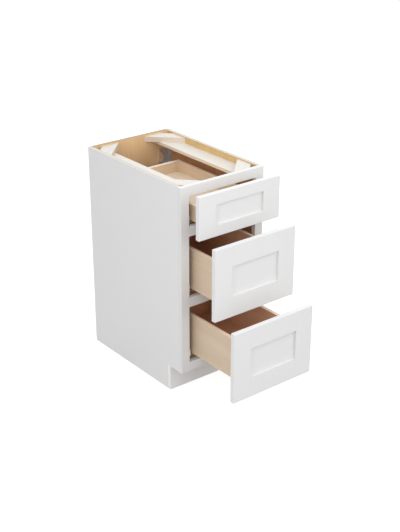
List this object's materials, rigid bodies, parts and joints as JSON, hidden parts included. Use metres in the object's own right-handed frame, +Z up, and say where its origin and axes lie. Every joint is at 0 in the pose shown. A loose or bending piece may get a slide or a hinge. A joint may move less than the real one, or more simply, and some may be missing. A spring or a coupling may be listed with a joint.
{
  "type": "base cabinet with drawers",
  "caption": "Face-frame kitchen base cabinet with a stack of shaker-front drawers standing part open, dovetailed boxes on under-box slides, open top and toe kick.",
  "frame": {"origin": "floor level at the middle of the width, in the plane of the wall behind the cabinet", "axes": "+X to the right as seen from the front, +Y back into the wall, +Z up; the drawers open along -Y"},
  "size_m": [0.4, 0.9144, 0.8763],
  "materials": {
    "white_paint": "satin white paint on hardwood and fibreboard",
    "white_paint_side": "satin white finish on plywood outside, clear birch inside",
    "birch_ply": "clear-coated birch plywood",
    "birch": "planed birch",
    "maple": "clear-coated maple",
    "maple_ply": "clear-coated maple plywood",
    "zinc_steel": "zinc-plated rolled steel",
    "grey_plastic": "moulded plastic",
    "orange_plastic": "moulded plastic"
  },
  "bodies": {
    "cabinet": {"side_panel_left": "white_paint_side", "side_panel_right": "white_paint_side", "face_stile_left": "white_paint", "face_stile_right": "white_paint", "face_rail_top": "white_paint", "face_rail_upper": "white_paint", "face_rail_lower": "white_paint", "face_rail_bottom": "white_paint", "toe_kick_board": "white_paint", "back_panel": "birch_ply", "bottom_panel": "birch_ply", "hanging_rails": "birch_ply", "top_side_rail_left": "birch_ply", "top_side_rail_right": "birch_ply", "corner_braces_front": "birch", "corner_braces_back": "birch", "slide_rear_brackets": "zinc_steel", "top_slide_cabinet_members": "zinc_steel", "middle_slide_cabinet_members": "zinc_steel", "bottom_slide_cabinet_members": "zinc_steel"},
    "top_drawer": {"top_front_panel": "white_paint", "top_front_stiles": "white_paint", "top_front_rails": "white_paint", "top_box_front": "maple", "top_box_back": "maple", "top_box_side_left": "maple", "top_box_side_right": "maple", "top_box_bottom": "maple_ply", "top_slide_drawer_members": "zinc_steel", "top_lock_bodies": "grey_plastic"},
    "top_slide_middle": {"top_slide_middle_members": "zinc_steel"},
    "top_release_lever_left": {"top_release_lever_left": "orange_plastic"},
    "top_release_lever_right": {"top_release_lever_right": "orange_plastic"},
    "middle_drawer": {"middle_front_panel": "white_paint", "middle_front_stiles": "white_paint", "middle_front_rails": "white_paint", "middle_box_front": "maple", "middle_box_back": "maple", "middle_box_side_left": "maple", "middle_box_side_right": "maple", "middle_box_bottom": "maple_ply", "middle_slide_drawer_members": "zinc_steel", "middle_lock_bodies": "grey_plastic"},
    "middle_slide_middle": {"middle_slide_middle_members": "zinc_steel"},
    "middle_release_lever_left": {"middle_release_lever_left": "orange_plastic"},
    "middle_release_lever_right": {"middle_release_lever_right": "orange_plastic"},
    "bottom_drawer": {"bottom_front_panel": "white_paint", "bottom_front_stiles": "white_paint", "bottom_front_rails": "white_paint", "bottom_box_front": "maple", "bottom_box_back": "maple", "bottom_box_side_left": "maple", "bottom_box_side_right": "maple", "bottom_box_bottom": "maple_ply", "bottom_slide_drawer_members": "zinc_steel", "bottom_lock_bodies": "grey_plastic"},
    "bottom_slide_middle": {"bottom_slide_middle_members": "zinc_steel"},
    "bottom_release_lever_left": {"bottom_release_lever_left": "orange_plastic"},
    "bottom_release_lever_right": {"bottom_release_lever_right": "orange_plastic"}
  },
  "joints": [
    {"name": "top_drawer_slide", "type": "slide", "parent": "cabinet", "child": "top_drawer", "axis": [0, -1, 0], "range_m": [-0.0789, 0.4411]},
    {"name": "top_slide_middle_travel", "type": "slide", "parent": "cabinet", "child": "top_slide_middle", "axis": [0, -1, 0], "range_m": [-0.03945, 0.22055]},
    {"name": "top_lever_left_squeeze", "type": "hinge", "parent": "top_drawer", "child": "top_release_lever_left", "pos_m": [-0.074, -0.6566, 0.7382], "axis": [0, 0, 1], "range_deg": [0, 12], "stiffness_Nm_per_rad": 0.2},
    {"name": "top_lever_right_squeeze", "type": "hinge", "parent": "top_drawer", "child": "top_release_lever_right", "pos_m": [0.074, -0.6566, 0.7382], "axis": [0, 0, -1], "range_deg": [0, 12], "stiffness_Nm_per_rad": 0.2},
    {"name": "middle_drawer_slide", "type": "slide", "parent": "cabinet", "child": "middle_drawer", "axis": [0, -1, 0], "range_m": [-0.1725, 0.3475]},
    {"name": "middle_slide_middle_travel", "type": "slide", "parent": "cabinet", "child": "middle_slide_middle", "axis": [0, -1, 0], "range_m": [-0.08625, 0.17375]},
    {"name": "middle_lever_left_squeeze", "type": "hinge", "parent": "middle_drawer", "child": "middle_release_lever_left", "pos_m": [-0.074, -0.7502, 0.4571], "axis": [0, 0, 1], "range_deg": [0, 12], "stiffness_Nm_per_rad": 0.2},
    {"name": "middle_lever_right_squeeze", "type": "hinge", "parent": "middle_drawer", "child": "middle_release_lever_right", "pos_m": [0.074, -0.7502, 0.4571], "axis": [0, 0, -1], "range_deg": [0, 12], "stiffness_Nm_per_rad": 0.2},
    {"name": "bottom_drawer_slide", "type": "slide", "parent": "cabinet", "child": "bottom_drawer", "axis": [0, -1, 0], "range_m": [-0.2838, 0.2362]},
    {"name": "bottom_slide_middle_travel", "type": "slide", "parent": "cabinet", "child": "bottom_slide_middle", "axis": [0, -1, 0], "range_m": [-0.1419, 0.1181]},
    {"name": "bottom_lever_left_squeeze", "type": "hinge", "parent": "bottom_drawer", "child": "bottom_release_lever_left", "pos_m": [-0.074, -0.8615, 0.17865], "axis": [0, 0, 1], "range_deg": [0, 12], "stiffness_Nm_per_rad": 0.2},
    {"name": "bottom_lever_right_squeeze", "type": "hinge", "parent": "bottom_drawer", "child": "bottom_release_lever_right", "pos_m": [0.074, -0.8615, 0.17865], "axis": [0, 0, -1], "range_deg": [0, 12], "stiffness_Nm_per_rad": 0.2}
  ],
  "couplings": [
    {"joint": "top_slide_middle_travel", "follows": "top_drawer_slide", "ratio": 0.5},
    {"joint": "middle_slide_middle_travel", "follows": "middle_drawer_slide", "ratio": 0.5},
    {"joint": "bottom_slide_middle_travel", "follows": "bottom_drawer_slide", "ratio": 0.5}
  ]
}
